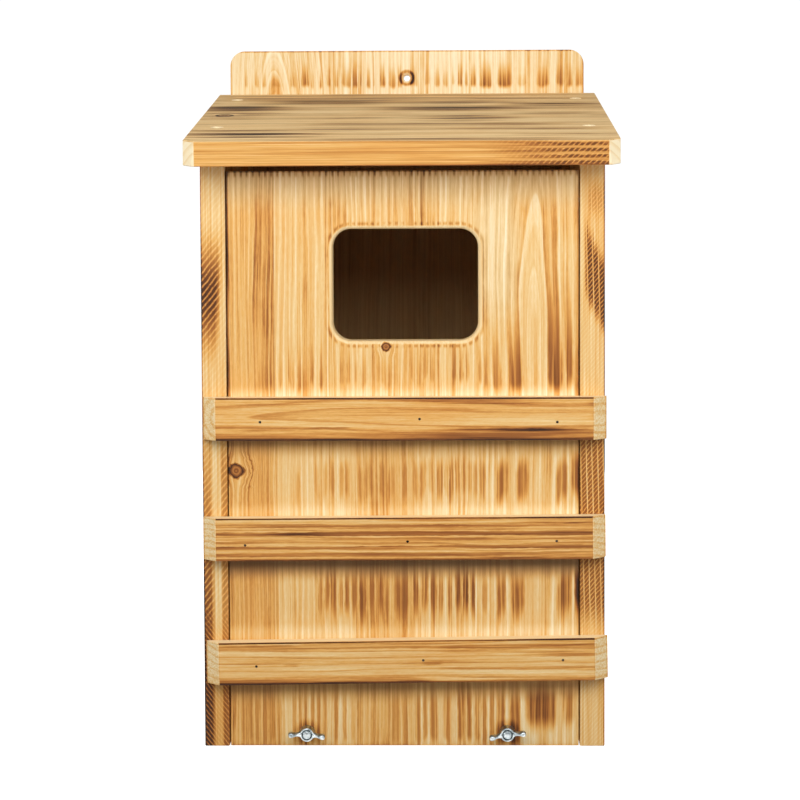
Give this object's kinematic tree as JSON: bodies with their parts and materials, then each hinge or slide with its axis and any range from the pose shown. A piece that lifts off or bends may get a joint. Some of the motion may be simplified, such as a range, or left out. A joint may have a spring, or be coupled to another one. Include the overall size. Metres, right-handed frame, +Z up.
{
  "type": "nest box",
  "caption": "Wall-hung wooden nest box with a sloping roof, a wide rounded entrance, climbing rails across the front and a hinged clean-out door held shut by wing screws.",
  "frame": {"origin": "middle of the footprint of the whole box, on the ground under the floor board", "axes": "+Z up; +Y towards the back board and the wall it hangs on, so the entrance faces -Y; +X to the right as seen from the front"},
  "size_m": [0.31, 0.296, 0.521],
  "materials": {
    "back_wood": "flame-scorched softwood, grain upright, matt",
    "wall_wood": "flame-scorched softwood with darker saw-marked edges, matt",
    "floor_wood": "lightly scorched softwood, matt",
    "roof_wood": "flame-scorched softwood, grain across the width, matt",
    "front_wood": "flame-scorched softwood of glued strips, grain upright, matt",
    "rail_wood": "flame-scorched softwood with pale cut ends, matt",
    "screw_steel": "zinc-plated, dull",
    "nail_steel": "plain steel, dull",
    "brass": "satin",
    "zinc": "bright zinc plating"
  },
  "bodies": {
    "nest_box": {"back_board": "back_wood", "left_side_wall": "wall_wood", "right_side_wall": "wall_wood", "floor_board": "floor_wood", "roof_board": "roof_wood", "upper_front_panel": "front_wood", "top_rail": "rail_wood", "roof_screws": "screw_steel", "left_back_screws": "screw_steel", "right_back_screws": "screw_steel", "floor_back_screws": "screw_steel", "left_floor_screws": "screw_steel", "right_floor_screws": "screw_steel", "left_panel_screws": "screw_steel", "right_panel_screws": "screw_steel", "left_pivot_screw": "screw_steel", "right_pivot_screw": "screw_steel", "top_rail_nails": "nail_steel", "left_threaded_insert": "brass", "right_threaded_insert": "brass"},
    "clean_out_door": {"clean_out_door": "front_wood", "middle_rail": "rail_wood", "lower_rail": "rail_wood", "middle_rail_nails": "nail_steel", "lower_rail_nails": "nail_steel"},
    "left_stud": {"left_stud": "zinc"},
    "right_stud": {"right_stud": "zinc"},
    "left_wing_nut": {"left_wing_nut": "zinc"},
    "right_wing_nut": {"right_wing_nut": "zinc"}
  },
  "joints": [
    {"name": "door_hinge", "type": "hinge", "parent": "nest_box", "child": "clean_out_door", "pos_m": [0, -0.103, 0.2155], "axis": [-1, 0, 0], "range_deg": [0, 90]},
    {"name": "left_stud_travel", "type": "slide", "parent": "clean_out_door", "child": "left_stud", "axis": [0, -1, 0], "range_m": [0, 0.00751]},
    {"name": "left_wing_nut_turn", "type": "hinge", "parent": "left_stud", "child": "left_wing_nut", "pos_m": [-0.071, -0.112, 0.01], "axis": [0, -1, 0], "range_deg": [0, 2700]},
    {"name": "right_stud_travel", "type": "slide", "parent": "clean_out_door", "child": "right_stud", "axis": [0, -1, 0], "range_m": [0, 0.00751]},
    {"name": "right_wing_nut_turn", "type": "hinge", "parent": "right_stud", "child": "right_wing_nut", "pos_m": [0.075, -0.112, 0.01], "axis": [0, -1, 0], "range_deg": [0, 2700]}
  ],
  "couplings": [
    {"joint": "left_stud_travel", "follows": "left_wing_nut_turn", "m_per_rad": 0.00015915},
    {"joint": "right_stud_travel", "follows": "right_wing_nut_turn", "m_per_rad": 0.00015915}
  ]
}
